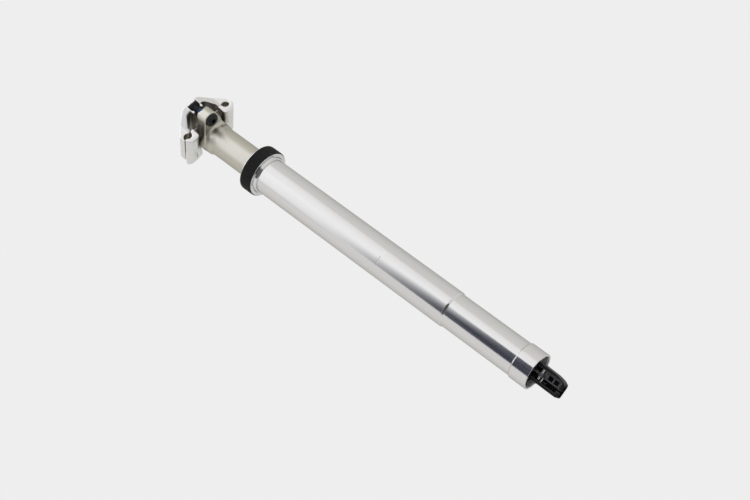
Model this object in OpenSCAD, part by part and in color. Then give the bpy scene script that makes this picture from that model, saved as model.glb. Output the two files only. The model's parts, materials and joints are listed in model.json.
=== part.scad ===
// Dropper seatpost: a cable-worked telescopic bicycle seatpost with a two-bolt saddle clamp.
// Sizes are millimetres. Z runs up the post's axis and X points forward. The origin lies on the
// axis at the underside of the flange, which rests on the rim of the bicycle's seat tube.
// The post stands partly lowered, with the saddle rails level for a seat tube that leans back.

/* [Outer tube] */
// Outside diameter of the tube, which is the frame's seat-tube size
post_d = 31.6; // [31.4:0.1:33]
// Length of the tube below the flange
tube_len = 284; // [280:1:300]
// Bore that the stanchion's guides run in
tube_bore_d = 27.2; // [27:0.1:27.4]
// Diameter of the relieved stretch above the end ring
relief_d = 29.9; // [29.6:0.1:30.8]
// Distance of the relief's upper step below the flange
relief_top = 199.5; // [190:0.5:205]
// Height of the full-size ring at the tube's lower end
end_ring_h = 15.6; // [13:0.2:18]
// Distance of the insertion mark below the flange
mark_below = 130.8; // [100:0.5:150]
// Bore of the tube's mouth, where the base plug sits
mouth_d = 28.6; // [28.4:0.1:28.8]
// Depth of the base plug's seat inside the mouth
mouth_depth = 17; // [16:0.5:19]

/* [Collar and seals] */
// Inset of the flange's rim inside the collar's rim
flange_inset = 0.85; // [0.4:0.05:1.4]
// Height of the flange
flange_h = 3.3; // [3:0.1:3.6]
// Width of the flange's lower tier round the tube
tier_w = 1.7; // [1.4:0.1:2.4]
// Wall of the neck that the collar screws on
neck_wall = 2.2; // [1.9:0.1:2.6]
// Height of the neck above the flange
neck_h = 8.2; // [7.8:0.1:8.8]
// Width of the wiper's shoulder, which the collar's top holds down
wiper_w = 1.6; // [1.3:0.1:1.9]
// Wall of the collar round the neck
collar_wall = 2.55; // [2.3:0.05:3.4]
// Height of the collar
collar_h = 11.4; // [11:0.1:13]
// Width of the wiper's lip between the stanchion and the collar's top
lip_w = 1.8; // [1.5:0.1:2.1]
// Height of the foam ring under the wiper
foam_h = 3; // [2:0.1:4]
// Length of the upper bushing
upper_bushing_h = 22; // [16:1:30]
// Thickness of the collar's sealing ring
o_ring_d = 1.3; // [1:0.1:1.4]

/* [Stanchion] */
// Outside diameter of the sliding stanchion
stanchion_d = 26; // [25.8:0.1:26.2]
// Bore of the stanchion, which holds the hydraulic cartridge
stanchion_bore_d = 21.6; // [21.4:0.1:21.8]
// Depth of the stanchion's lower end below the flange as it stands
stanchion_below = 215; // [205:1:225]
// Height at which the stanchion starts to swell into the head
flare_z = 55.5; // [55:0.5:60]
// Diameter of the head's column
head_d = 28.8; // [28:0.2:29]
// Height of the swelling
flare_h = 5.5; // [4:0.5:7]
// Diameter of the three brass guide keys
key_d = 3; // [2.6:0.1:3]
// Length of a guide key
key_h = 12; // [8:1:16]
// Length of the lower bushing
lower_bushing_h = 7.5; // [5:0.5:9]

/* [Saddle clamp] */
// Nose-down tilt of the clamp against the post's square
rest_tilt = 13; // [10:0.5:14]
// Height of the rails above the flange at the clamp's middle
rail_z = 76.6; // [76:0.2:80]
// Setback of the clamp's middle behind the post's axis
setback = 1; // [0:0.2:2]
// Distance between the rails' centres
rail_span = 44; // [43:0.5:46]
// Diameter of the saddle rails
rail_d = 7; // [6.8:0.1:7.2]
// Length of the lower jaws along a rail
lower_jaw_l = 41.4; // [38:0.2:44]
// Length of the upper jaws along a rail
upper_jaw_l = 33; // [30:0.5:36]
// Gap between the upper and lower jaws
jaw_gap = 1.2; // [0.8:0.1:1.6]
// Slope of the parting between the jaws
parting_angle = 18; // [14:1:22]
// Height of the upper clamp's top above the rails
arch_h = 19.8; // [19.4:0.1:21]
// Distance of the barrel nuts from the clamp's middle
nut_x = 21.75; // [21.5:0.05:22.5]
// Height of the barrel nuts, and of the tilting axis, above the rails
nut_z = 15.5; // [15.2:0.1:15.8]
// Height of the cradle's rocking sole below the rails
sole_drop = 4.2; // [3.8:0.1:4.6]
// Travel of a barrel nut sideways in its seat as the clamp tilts
nut_play = 0.9; // [0.85:0.05:1]

/* [Clamp bolts] */
// Diameter of the bolts' shanks
bolt_d = 5; // [4.6:0.1:5.2]
// Diameter of the bolts' heads
bolt_head_d = 9; // [8.4:0.2:9.4]
// Height of the bolts' heads
bolt_head_h = 4.3; // [4:0.1:5]
// Size of the hexagon socket across its flats
socket_af = 4; // [3:0.5:5]
// Outside diameter of the cup washers
washer_d = 11.6; // [11.4:0.1:12]
// Height of the cup washers
washer_h = 4.7; // [4.5:0.1:5.5]
// How far the cup washers stand out below the ears
washer_out = 2.4; // [1.6:0.1:2.8]
// Height of the front ear's underside above the flange
ear_z = 65; // [64:0.2:66]
// Thickness of the front ear
ear_h = 11; // [10:0.2:11.4]
// Radius of an ear round its bolt
ear_r = 7.1; // [7:0.1:7.6]
// Diameter of a barrel nut
nut_d = 7; // [6.8:0.1:7.4]
// Length of a barrel nut
nut_l = 8.8; // [8.4:0.1:9.6]

/* [Cartridge] */
// Outside diameter of the piston rod
rod_d = 10; // [9:0.2:10.4]
// Diameter of the rod's threaded lower stub
stub_d = 6; // [5.6:0.1:6.4]
// Height of the rod's shoulder above the tube's lower end, on the base plug
plug_h = 12; // [11:0.5:13]
// Distance of the piston below the flange
piston_below = 66; // [60:1:72]
// Height of the piston
piston_h = 10; // [8:0.5:12]
// Wall of the cartridge tube
cartridge_wall = 1.05; // [0.9:0.05:1.2]
// Height of the floating piston above the flange as it stands
floating_z = 4; // [0:1:10]
// Height of the floating piston
floating_h = 12; // [10:0.5:14]
// Diameter of the release pin inside the rod
pin_d = 3; // [2.6:0.1:3.2]

/* [Actuator] */
// Turn of the actuator about the post's axis, from straight ahead
actuator_turn = -28; // [-40:1:-10]
// Distance of the actuator's tip below the tube's lower end
tip_below = 25.6; // [25.4:0.2:28]
// Width over the arms
arms_w = 15.4; // [15:0.2:15.8]
// Offset of the arms from the post's axis
arms_shift = 0.7; // [0.5:0.1:0.9]
// Clear width between the arms
bay_w = 9.8; // [9.6:0.1:10]
// Width of the lever's plate
plate_w = 5.9; // [5.3:0.1:6]
// Offset of the lever's plate from the post's axis
plate_shift = 2.15; // [1.9:0.05:2.3]
// Thickness of the lever's plate
plate_t = 1.6; // [1.4:0.1:1.8]
// Width of each window in the plate
window_w = 3.1; // [2.6:0.1:3.4]
// Height of each window in the plate
window_h = 3.6; // [3:0.1:3.8]
// Diameter of the lever's pivot pin
pivot_d = 2.5; // [2.2:0.1:2.6]
// Diameter of the cable barrel
barrel_d = 2.6; // [2.4:0.1:3]
// Bore of the seat for the cable housing's end
ferrule_d = 5.1; // [5:0.1:5.2]
// Width of the slot that the cable slips in through
cable_slot_w = 1.8; // [1.6:0.1:2]

/* [Hidden] */
$fn = 72;

// Clearances: a running fit, a seated piece, pieces that must not rub, and a rubber lip
run_gap = 0.05;
seat_gap = 0.25;
free_gap = 0.3;
seal_gap = 0.06;
cut = 1;
far = 80;

// Outer tube
post_r = post_d / 2;
tube_bore_r = tube_bore_d / 2;
mouth_r = mouth_d / 2;
relief_r = relief_d / 2;
tube_end = -tube_len;
plug_top = tube_end + mouth_depth;
ring_top = tube_end + end_ring_h;
edge_break = 0.6;
step_h = 1.4;
mark_d = 0.2;
mark_h = 0.5;
rim_h = 1.15;
cup_floor = flange_h - 1.1;
tier_h = flange_h - rim_h;
neck_top = flange_h + neck_h;

// Collar, with each ring's size taken from the one inside it
collar_mouth_r = stanchion_d / 2 + lip_w;
cup_r = collar_mouth_r + wiper_w;
neck_r = cup_r + neck_wall;
collar_r = neck_r + collar_wall;
flange_r = collar_r - flange_inset;
tier_r = post_r + tier_w;
collar_top = flange_h + collar_h;
collar_break = 0.8;
wiper_top = collar_top + 0.7;
o_ring_z = flange_h + neck_h / 2;
o_ring_squeeze = 0.05;

// Stanchion
stanchion_r = stanchion_d / 2;
stanchion_bore_r = stanchion_bore_d / 2;
stanchion_end = -stanchion_below;
bore_top = flare_z - 3.5;
groove_depth = 0.6;
bushing_z = stanchion_end + 2;
key_count = 3;
key_orbit = stanchion_bore_r + 0.35 + key_d / 2;
key_z = bushing_z + lower_bushing_h + 2.5;
key_turn = 60;
keyway_top = cup_floor - upper_bushing_h - 5;
split_w = 1.2;

// Frame of the saddle clamp: its origin is between the rails and it leans nose-down
rail_y = rail_span / 2;
rail_r = rail_d / 2;
clamp_x = -setback * cos(rest_tilt);
axis_x = clamp_x + nut_z * sin(rest_tilt);
axis_z = rail_z + nut_z * cos(rest_tilt);
sole_r = nut_z + sole_drop;
seat_r = sole_r + free_gap;
front_bolt_x = axis_x + nut_x * cos(rest_tilt);
rear_bolt_x = axis_x - nut_x * cos(rest_tilt);
front_nut_z = axis_z - nut_x * sin(rest_tilt);
rear_nut_z = axis_z + nut_x * sin(rest_tilt);
rear_rise = rear_nut_z - front_nut_z;
head_r = head_d / 2;
rear_ear_drop = 2.4;
rear_ear_z = ear_z + rear_rise - rear_ear_drop;
head_top = ear_z + ear_h + rear_rise - 3;
rear_ear_h = head_top - rear_ear_z;
crown_r = 19;
ear_fillet = 3.5;
cheek_gap = 0.4;
cradle_half = head_r + cheek_gap;

// Bolts, washers and nuts
bolt_r = bolt_d / 2;
washer_r = washer_d / 2;
washer_gap = 0.15;
washer_floor = 0.8;
bearing_rise = washer_h - washer_floor - washer_out;
head_gap = 0.15;
bolt_hole_r = bolt_r + free_gap;
nut_r = nut_d / 2;
nut_bore_r = bolt_r + run_gap;
sleeve_r = bolt_r + 0.6;
sleeve_drop = 7.5;
bolt_rise = 3;
slot_w = 2 * (sleeve_r + 0.35);
nut_seat_r = nut_r + seat_gap;
nut_seat_shift = nut_play - seat_gap;
boss_half = nut_l / 2 + 1.3;
boss_drop = nut_z - nut_seat_r - 2;
clamp_reach = nut_x + 2.6;

// Cartridge
rod_r = rod_d / 2;
stub_r = stub_d / 2;
pin_r = pin_d / 2;
plug_bottom = plug_top - plug_h;
foot_h = 4;
foot_bottom = plug_bottom - foot_h;
rod_nut_h = 3;
rod_nut_af = 8.2;
stub_end = foot_bottom - rod_nut_h - 0.6;
cartridge_r = stanchion_bore_r;
cartridge_bore_r = cartridge_r - cartridge_wall;
piston_z = -piston_below;
piston_r = cartridge_bore_r - run_gap;
piston_nut_h = 4;
piston_nut_af = 10;
lock_ring_z = stanchion_end + 1.2;
lock_ring_h = 1.2;
lock_groove = 0.6;
seal_head_z = lock_ring_z + lock_ring_h;
seal_head_flange = 7;
seal_head_h = 17;
cartridge_z = seal_head_z + seal_head_flange;
end_cap_flange = 4;
end_cap_h = 12;
cartridge_top = bore_top - end_cap_flange;
seal_w = 2;
seal_depth = 1.6;

// Actuator: its own frame has x straight out of the lever's plate and y across the arms
tip_z = tube_end - tip_below;
pin_tip_z = stub_end - 1.4;
nose_gap = 0.15;
pivot_x = 2.4;
pivot_z = pin_tip_z - 2.6;
pivot_r = pivot_d / 2;
hub_r = 2.2;
barrel_x = 6.2;
barrel_z = pivot_z + 1.6;
barrel_r = barrel_d / 2;
barrel_wall = 0.8;
bridge_h = 3.6;
bay_floor = tip_z + bridge_h;
bay_y = arms_shift - 0.2 - bay_w / 2;
plate_x = 2.4;
plate_bottom = bay_floor + 0.5;
plate_y = plate_shift - plate_w / 2;
boss_w = 2.8;
arms_low = arms_shift - arms_w / 2;
arms_high = arms_shift + arms_w / 2;
arm_front = 7.6;
arm_back = -4.4;
back_wall = 1.2;
ferrule_x = 3.9;
ferrule_depth = 2.4;
cable_y = -1.5;

// A unit vector
function unit(v) = v / norm(v);

// Arc of radius r that rounds the corner at q between its neighbours p and s
function corner_arc(p, q, s, r, n) =
    let (
        a = unit(p - q),
        b = unit(s - q),
        half = acos(a * b) / 2,
        centre = q + unit(a + b) * r / sin(half),
        from = q + a * r / tan(half) - centre,
        to = q + b * r / tan(half) - centre,
        start = atan2(from[1], from[0]),
        sweep = (atan2(to[1], to[0]) - start + 540) % 360 - 180
    )
    [for (i = [0:n]) centre + r * [cos(start + sweep * i / n), sin(start + sweep * i / n)]];

// Outline with rounded corners, from points that each give a place and a radius
function rounded(points, n = 5) =
    [for (i = [0:len(points) - 1])
        let (
            count = len(points),
            p = points[(i + count - 1) % count],
            q = points[i],
            s = points[(i + 1) % count]
        )
        each q[2] == 0
            ? [[q[0], q[1]]]
            : corner_arc([p[0], p[1]], [q[0], q[1]], [s[0], s[1]], q[2], n)];

// A flat ring about the axis
module ring(inner, outer, z, h) {
    rotate_extrude() translate([inner, z]) square([outer - inner, h]);
}

// A ring with a split through one side
module split_ring(inner, outer, z, h, gap) {
    difference() {
        ring(inner, outer, z, h);
        translate([0, -gap / 2, z - cut]) cube([outer + cut, gap, h + 2 * cut]);
    }
}

// A hexagonal prism across its flats
module hexagon(af, h) {
    cylinder(d = af / cos(30), h = h, $fn = 6);
}

// An outline in the X-Z plane, drawn out to both sides along Y
module across_y(width) {
    translate([0, width / 2, 0]) rotate([90, 0, 0]) linear_extrude(width) children();
}

// An outline in the Y-Z plane, drawn out to both sides along X
module along_x(length) {
    translate([-length / 2, 0, 0]) rotate([90, 0, 90]) linear_extrude(length) children();
}

// Places a shape from the saddle clamp's frame on the post
module clamp_frame() {
    translate([clamp_x, 0, rail_z]) rotate([0, rest_tilt, 0]) children();
}

// Places a shape from the actuator's frame on the post
module actuator_frame() {
    rotate([0, 0, actuator_turn]) children();
}

// Plan of an ear: a round tip at x that runs tangent into the head's column
module ear_plan(x) {
    lean = acos((stanchion_r - ear_r) / abs(x));
    side = sign(x);
    circle(stanchion_r);
    translate([x, 0]) circle(ear_r);
    polygon([
        [side * stanchion_r * cos(lean), stanchion_r * sin(lean)],
        [x + side * ear_r * cos(lean), ear_r * sin(lean)],
        [x + side * ear_r * cos(lean), -ear_r * sin(lean)],
        [side * stanchion_r * cos(lean), -stanchion_r * sin(lean)]
    ]);
}

// An ear of the head: a crowned top that rounds off at the tip, and a fillet under its root
module ear(x, z, h) {
    tip = abs(x) + ear_r;
    intersection() {
        translate([0, 0, z]) linear_extrude(h) ear_plan(x);
        mirror([x < 0 ? 1 : 0, 0, 0]) across_y(far) polygon(rounded([
            [-head_r, z, 0], [tip, z, edge_break], [tip, z + h, 4], [-head_r, z + h, 0]
        ]));
        translate([0, 0, z + h - crown_r]) rotate([0, 90, 0]) cylinder(r = crown_r, h = far, center = true);
    }
    intersection() {
        translate([0, 0, z - ear_fillet]) linear_extrude(ear_fillet) ear_plan(x);
        rotate_extrude() polygon(concat(
            [[0, z], [0, z - ear_fillet]],
            [for (a = [0:7.5:90])
                [head_r + ear_fillet * (1 - cos(a)), z - ear_fillet + ear_fillet * sin(a)]]
        ));
    }
}

// Bolt hole and washer seat of an ear
module ear_bore(x, z) {
    translate([x, 0, z - washer_out]) cylinder(r = washer_r + washer_gap, h = washer_h);
    translate([x, 0, z]) cylinder(r = bolt_hole_r, h = far);
}

// Half of the lower jaws' section, from the post's side to the outer lip
module lower_jaw_section() {
    outer = rail_y + 5.2;
    inner = cradle_half;
    difference() {
        polygon(rounded([
            [inner, -6.2, 2], [inner + 3.4, -8, 2.4], [rail_y + 2.4, -7.6, 2.4],
            [outer, -4.4, 1.6], [outer, 8, 0], [inner, 8, 0]
        ]));
        translate([rail_y, 0]) circle(rail_r);
        translate([rail_y, -jaw_gap / 2]) rotate(-parting_angle) translate([-far / 2, 0]) square(far);
    }
}

// Half of the upper clamp's section: a leg that rises from the outer jaw to the arch's top
module upper_clamp_section() {
    outer = rail_y + 5.1;
    inner = rail_y - 5.4;
    crown = arch_h - 6.4;
    difference() {
        polygon(rounded([
            [0, arch_h, 0], [9.4, arch_h, 4], [18.9, 12.9, 14], [outer, 4.4, 2.2], [outer, -far / 8, 0],
            [inner, -far / 8, 0], [inner, 5.6, 1], [10.2, crown, 2], [0, crown, 0]
        ]));
        translate([rail_y, 0]) circle(rail_r);
        translate([rail_y, jaw_gap / 2]) rotate(-parting_angle) translate([-far / 2, -far]) square(far);
    }
}

// Both mirrored halves of a clamp section
module both_sides() {
    children();
    mirror([1, 0]) children();
}

// Fixed lower post

module outer_tube() {
    color("gainsboro") difference() {
        rotate_extrude() polygon([
            [mouth_r, tube_end],
            [post_r - edge_break, tube_end],
            [post_r, tube_end + edge_break],
            [post_r, ring_top],
            [relief_r, ring_top + edge_break],
            [relief_r, -relief_top - step_h],
            [post_r, -relief_top],
            [post_r, -mark_below - mark_h],
            [post_r - mark_d, -mark_below - mark_h / 2],
            [post_r, -mark_below],
            [post_r, 0],
            [tier_r, 0],
            [tier_r, tier_h],
            [flange_r - edge_break, tier_h],
            [flange_r, tier_h + edge_break / 2],
            [flange_r, flange_h],
            [neck_r, flange_h],
            [neck_r, o_ring_z - o_ring_d / 2],
            [neck_r - o_ring_d, o_ring_z - o_ring_d / 2],
            [neck_r - o_ring_d, o_ring_z + o_ring_d / 2],
            [neck_r, o_ring_z + o_ring_d / 2],
            [neck_r, neck_top],
            [cup_r, neck_top],
            [cup_r, cup_floor],
            [tube_bore_r, cup_floor],
            [tube_bore_r, plug_top],
            [mouth_r, plug_top]
        ]);
        for (k = [0:key_count - 1])
            rotate(key_turn + k * 360 / key_count)
                translate([key_orbit, 0, plug_top - cut])
                    cylinder(d = key_d + 2 * run_gap, h = keyway_top - plug_top + cut);
        ring(mouth_r - cut, mouth_r + lock_groove, plug_bottom - lock_ring_h, lock_ring_h);
    }
}

module seal_collar() {
    color("#1c1c1c") rotate_extrude() polygon([
        [neck_r, flange_h],
        [collar_r - collar_break, flange_h],
        [collar_r, flange_h + collar_break],
        [collar_r, collar_top - collar_break],
        [collar_r - collar_break, collar_top],
        [collar_mouth_r, collar_top],
        [collar_mouth_r, neck_top],
        [neck_r, neck_top]
    ]);
}

module collar_o_ring() {
    color("#202020") rotate_extrude()
        translate([neck_r - o_ring_d / 2, o_ring_z]) circle(d = o_ring_d - 2 * o_ring_squeeze, $fn = 24);
}

module wiper_seal() {
    lip_r = stanchion_r + seal_gap;
    foot_z = cup_floor + foam_h;
    color("#2a2a2a") rotate_extrude() polygon([
        [lip_r, foot_z],
        [cup_r, foot_z],
        [cup_r, neck_top],
        [collar_mouth_r, neck_top],
        [collar_mouth_r - 0.4, wiper_top - 0.5],
        [lip_r + 0.4, wiper_top],
        [lip_r, wiper_top - 0.6],
        [lip_r + 0.5, wiper_top - 2.4],
        [lip_r + 0.5, foot_z + 2.4]
    ]);
}

module foam_ring() {
    color("#6d6558") ring(stanchion_r + seal_gap, cup_r, cup_floor, foam_h);
}

module upper_bushing() {
    color("#8a7a4a")
        split_ring(stanchion_r + run_gap, tube_bore_r, cup_floor - upper_bushing_h, upper_bushing_h, split_w);
}

module base_plug() {
    color("#9a9a9c") ring(stub_r, mouth_r, plug_bottom, plug_h);
}

module base_circlip() {
    color("silver") difference() {
        ring(mouth_r - 1.3, mouth_r + lock_groove, plug_bottom - lock_ring_h, lock_ring_h);
        actuator_frame() translate([0, -4, plug_bottom - lock_ring_h - cut])
            cube([far, 8, lock_ring_h + 2 * cut]);
    }
}

module piston_rod() {
    tip_h = piston_h + piston_nut_h;
    color("#c9c9cc") rotate_extrude() polygon([
        [pin_r + run_gap, stub_end],
        [stub_r, stub_end],
        [stub_r, plug_top],
        [rod_r, plug_top],
        [rod_r, piston_z],
        [stub_r, piston_z],
        [stub_r, piston_z + tip_h + 1],
        [0, piston_z + tip_h + 1],
        [0, piston_z + piston_h],
        [pin_r + run_gap, piston_z + piston_h]
    ]);
}

module rod_nut() {
    color("silver") difference() {
        actuator_frame() translate([0, 0, foot_bottom - rod_nut_h]) hexagon(rod_nut_af, rod_nut_h);
        translate([0, 0, foot_bottom - rod_nut_h - cut]) cylinder(r = stub_r, h = rod_nut_h + 2 * cut);
    }
}

module main_piston() {
    groove_z = piston_z + piston_h / 2 - seal_w / 2;
    color("#b08d57") rotate_extrude() polygon([
        [stub_r, piston_z],
        [piston_r, piston_z],
        [piston_r, groove_z],
        [piston_r - seal_depth, groove_z],
        [piston_r - seal_depth, groove_z + seal_w],
        [piston_r, groove_z + seal_w],
        [piston_r, piston_z + piston_h],
        [stub_r, piston_z + piston_h]
    ]);
}

module piston_seal() {
    color("#202020")
        ring(piston_r - seal_depth, piston_r, piston_z + piston_h / 2 - seal_w / 2, seal_w);
}

module piston_nut() {
    color("silver") difference() {
        translate([0, 0, piston_z + piston_h]) hexagon(piston_nut_af, piston_nut_h);
        translate([0, 0, piston_z + piston_h - cut]) cylinder(r = stub_r, h = piston_nut_h + 2 * cut);
    }
}

// Arms' outline from the side: straight edges that round off into the tip
module arm_side() {
    polygon(rounded([
        [arm_back, foot_bottom + cut, 0], [arm_back, tip_z, 5.4],
        [arm_front, tip_z, 2], [arm_front, foot_bottom + cut, 0]
    ]));
}

// Arms' outline from the front: nearly straight sides, and a tip that is rounder on one side
module arm_front_view() {
    polygon(rounded([
        [arms_low + 0.2, foot_bottom + cut, 0], [arms_low, tip_z, 2.4],
        [arms_high - 0.8, tip_z, 6], [arms_high, foot_bottom + cut, 0]
    ]));
}

module actuator_bracket() {
    foot_r = mouth_r - 1.5;
    flare_drop = 5.5;
    skirt = 1.5;
    rib_z = stub_end - 0.6;
    nut_pocket_r = rod_nut_af / 2 / cos(30) + free_gap;
    color("#161616") actuator_frame() difference() {
        union() {
            translate([0, 0, foot_bottom]) cylinder(r = foot_r, h = foot_h);
            difference() {
                union() {
                    intersection() {
                        across_y(far) arm_side();
                        along_x(far) arm_front_view();
                    }
                    intersection() {
                        translate([0, 0, foot_bottom - skirt]) rotate_extrude() polygon(concat(
                            [[0, skirt + cut], [foot_r, skirt + cut]],
                            [for (a = [0:15:90]) [foot_r - flare_drop * sin(a), flare_drop * (cos(a) - 1)]],
                            [[0, -flare_drop]]
                        ));
                        translate([arm_back, -far, foot_bottom - far / 2])
                            cube([arm_front - arm_back, far, far]);
                    }
                }
                translate([arm_back + back_wall, bay_y, bay_floor]) cube([far, bay_w, far]);
            }
            translate([0.5, bay_y - cut, rib_z - 8]) cube([2, 1.5 + cut, 8]);
        }
        translate([0, 0, foot_bottom - cut]) cylinder(r = stub_r, h = foot_h + 2 * cut);
        translate([0, 0, rib_z]) cylinder(r = nut_pocket_r, h = foot_bottom - rib_z);
        translate([pivot_x, 0, pivot_z]) rotate([90, 0, 0]) cylinder(r = pivot_r, h = far, center = true);
        translate([ferrule_x, cable_y, tip_z - cut]) cylinder(d = ferrule_d, h = ferrule_depth + cut);
        translate([ferrule_x, cable_y - cable_slot_w / 2, tip_z - cut])
            cube([far, cable_slot_w, bridge_h + 2 * cut]);
        translate([ferrule_x, cable_y, tip_z - cut]) cylinder(d = cable_slot_w, h = bridge_h + 2 * cut);
    }
}

module lever_pivot_pin() {
    color("silver") actuator_frame()
        translate([pivot_x, arms_high - 0.4, pivot_z]) rotate([90, 0, 0])
            cylinder(r = pivot_r, h = arms_w - 0.8);
}

// Lever and its pin

module release_pin() {
    dome = 0.5;
    color("silver") rotate_extrude() polygon([
        [0, pin_tip_z],
        [pin_r - dome, pin_tip_z],
        [pin_r, pin_tip_z + dome],
        [pin_r, piston_z + piston_h - 2.4],
        [0, piston_z + piston_h - 2.4]
    ]);
}

module release_lever() {
    nose_top = pin_tip_z - nose_gap;
    plate_h = pivot_z - plate_bottom;
    margin = (plate_h - hub_r - 2 * window_h) / 3;
    eye_r = barrel_r + barrel_wall;
    color("#45454a") actuator_frame() difference() {
        union() {
            translate([pivot_x, plate_y + plate_w, pivot_z]) rotate([90, 0, 0])
                cylinder(r = hub_r, h = plate_w);
            translate([plate_x, plate_y, plate_bottom]) cube([plate_t, plate_w, plate_h]);
            translate([barrel_x, plate_y + boss_w, barrel_z]) rotate([90, 0, 0])
                cylinder(r = eye_r, h = boss_w);
            translate([0, plate_y + boss_w, 0]) rotate([90, 0, 0]) linear_extrude(boss_w) polygon(rounded([
                [-1.2, nose_top, 0.4], [-1.2, nose_top - 1.6, 0.4], [pivot_x, pivot_z - hub_r, 0],
                [barrel_x, barrel_z - eye_r, 0], [barrel_x, barrel_z + eye_r, 0],
                [pivot_x, nose_top - 0.4, 0.4], [1, nose_top, 0.3]
            ]));
        }
        translate([pivot_x, 0, pivot_z]) rotate([90, 0, 0])
            cylinder(r = pivot_r + run_gap, h = far, center = true);
        translate([barrel_x, 0, barrel_z]) rotate([90, 0, 0]) cylinder(r = barrel_r, h = far, center = true);
        for (i = [0:1])
            translate([plate_x - cut, plate_shift - window_w / 2, plate_bottom + margin])
                translate([0, 0, i * (window_h + margin)]) cube([plate_t + 2 * cut, window_w, window_h]);
    }
}

module cable_barrel() {
    color("silver") actuator_frame() difference() {
        translate([barrel_x, plate_y + plate_w, barrel_z]) rotate([90, 0, 0])
            cylinder(r = barrel_r, h = plate_y + plate_w - cable_y + cable_slot_w);
        translate([barrel_x, cable_y, barrel_z - far / 2]) cylinder(d = cable_slot_w, h = far, $fn = 24);
    }
}

// Sliding upper post

module stanchion() {
    groove_r = stanchion_r - groove_depth;
    swell = head_r - stanchion_r;
    color("#b4b0a2") difference() {
        union() {
            rotate_extrude() polygon(concat(
                [
                    [0, bore_top], [stanchion_bore_r, bore_top],
                    [stanchion_bore_r, lock_ring_z + lock_ring_h],
                    [stanchion_bore_r + lock_groove, lock_ring_z + lock_ring_h],
                    [stanchion_bore_r + lock_groove, lock_ring_z],
                    [stanchion_bore_r, lock_ring_z], [stanchion_bore_r, stanchion_end],
                    [stanchion_r - edge_break, stanchion_end], [stanchion_r, stanchion_end + edge_break],
                    [stanchion_r, bushing_z], [groove_r, bushing_z],
                    [groove_r, bushing_z + lower_bushing_h], [stanchion_r, bushing_z + lower_bushing_h]
                ],
                [for (i = [0:8])
                    [stanchion_r + swell * (1 - cos(180 * i / 8)) / 2, flare_z + flare_h * i / 8]],
                [[head_r, head_top], [0, head_top]]
            ));
            ear(front_bolt_x, ear_z, ear_h);
            ear(rear_bolt_x, rear_ear_z, rear_ear_h);
        }
        translate([axis_x, 0, axis_z]) rotate([90, 0, 0]) cylinder(r = seat_r, h = far, center = true);
        ear_bore(front_bolt_x, ear_z);
        ear_bore(rear_bolt_x, rear_ear_z);
        translate([rear_bolt_x, 0, flare_z + 9]) sphere(r = washer_r + washer_gap);
        translate([rear_bolt_x, 0, flare_z + 9])
            cylinder(r = washer_r + washer_gap, h = rear_ear_z - flare_z - 9);
        for (k = [0:key_count - 1])
            rotate(key_turn + k * 360 / key_count)
                translate([key_orbit, 0, key_z]) cylinder(d = key_d, h = key_h);
    }
}

module lower_bushing() {
    color("#8a7a4a")
        split_ring(stanchion_r - groove_depth, tube_bore_r - run_gap, bushing_z, lower_bushing_h, split_w);
}

module guide_keys() {
    color("goldenrod") for (k = [0:key_count - 1])
        rotate(key_turn + k * 360 / key_count)
            translate([key_orbit, 0, key_z]) cylinder(d = key_d, h = key_h);
}

module cartridge_tube() {
    color("#8f8f92") ring(cartridge_bore_r, cartridge_r, cartridge_z, cartridge_top - cartridge_z);
}

module cartridge_seal_head() {
    bore_r = rod_r + run_gap;
    top = seal_head_z + seal_head_h;
    color("#3a3a3c") rotate_extrude() polygon([
        [bore_r, seal_head_z],
        [cartridge_r, seal_head_z],
        [cartridge_r, cartridge_z],
        [cartridge_bore_r, cartridge_z],
        [cartridge_bore_r, top],
        [bore_r + seal_depth, top],
        [bore_r + seal_depth, top - seal_w],
        [bore_r, top - seal_w]
    ]);
}

module rod_seal() {
    top = seal_head_z + seal_head_h;
    color("#202020") ring(rod_r + run_gap, rod_r + run_gap + seal_depth, top - seal_w, seal_w);
}

module cartridge_end_cap() {
    color("#3a3a3c") union() {
        translate([0, 0, cartridge_top]) cylinder(r = cartridge_r, h = end_cap_flange);
        translate([0, 0, bore_top - end_cap_h]) cylinder(r = cartridge_bore_r, h = end_cap_h);
    }
}

module cartridge_lock_ring() {
    color("silver")
        split_ring(stanchion_bore_r - 1.6, stanchion_bore_r + lock_groove, lock_ring_z, lock_ring_h, 5);
}

module floating_piston() {
    groove_z = floating_z + floating_h / 2 - seal_w / 2;
    color("#b08d57") rotate_extrude() polygon([
        [0, floating_z],
        [piston_r, floating_z],
        [piston_r, groove_z],
        [piston_r - seal_depth, groove_z],
        [piston_r - seal_depth, groove_z + seal_w],
        [piston_r, groove_z + seal_w],
        [piston_r, floating_z + floating_h],
        [piston_r - 3, floating_z + floating_h],
        [piston_r - 3, floating_z + floating_h - 3],
        [0, floating_z + floating_h - 3]
    ]);
}

module floating_piston_seal() {
    color("#202020")
        ring(piston_r - seal_depth, piston_r, floating_z + floating_h / 2 - seal_w / 2, seal_w);
}

// One clamp bolt, whose head hangs in its washer under the ear at height z
module clamp_bolt(x, z) {
    bearing_z = z + bearing_rise;
    shank_h = front_nut_z + bolt_rise - ear_z - bearing_rise;
    translate([x, 0, bearing_z]) difference() {
        union() {
            translate([0, 0, -bolt_head_h]) cylinder(d = bolt_head_d, h = bolt_head_h);
            cylinder(r = bolt_r, h = shank_h);
        }
        translate([0, 0, -bolt_head_h - cut]) hexagon(socket_af, bolt_head_h - 1 + cut);
    }
}

module clamp_bolts() {
    color("#1a1a1c") {
        clamp_bolt(front_bolt_x, ear_z);
        clamp_bolt(rear_bolt_x, rear_ear_z);
    }
}

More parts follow.
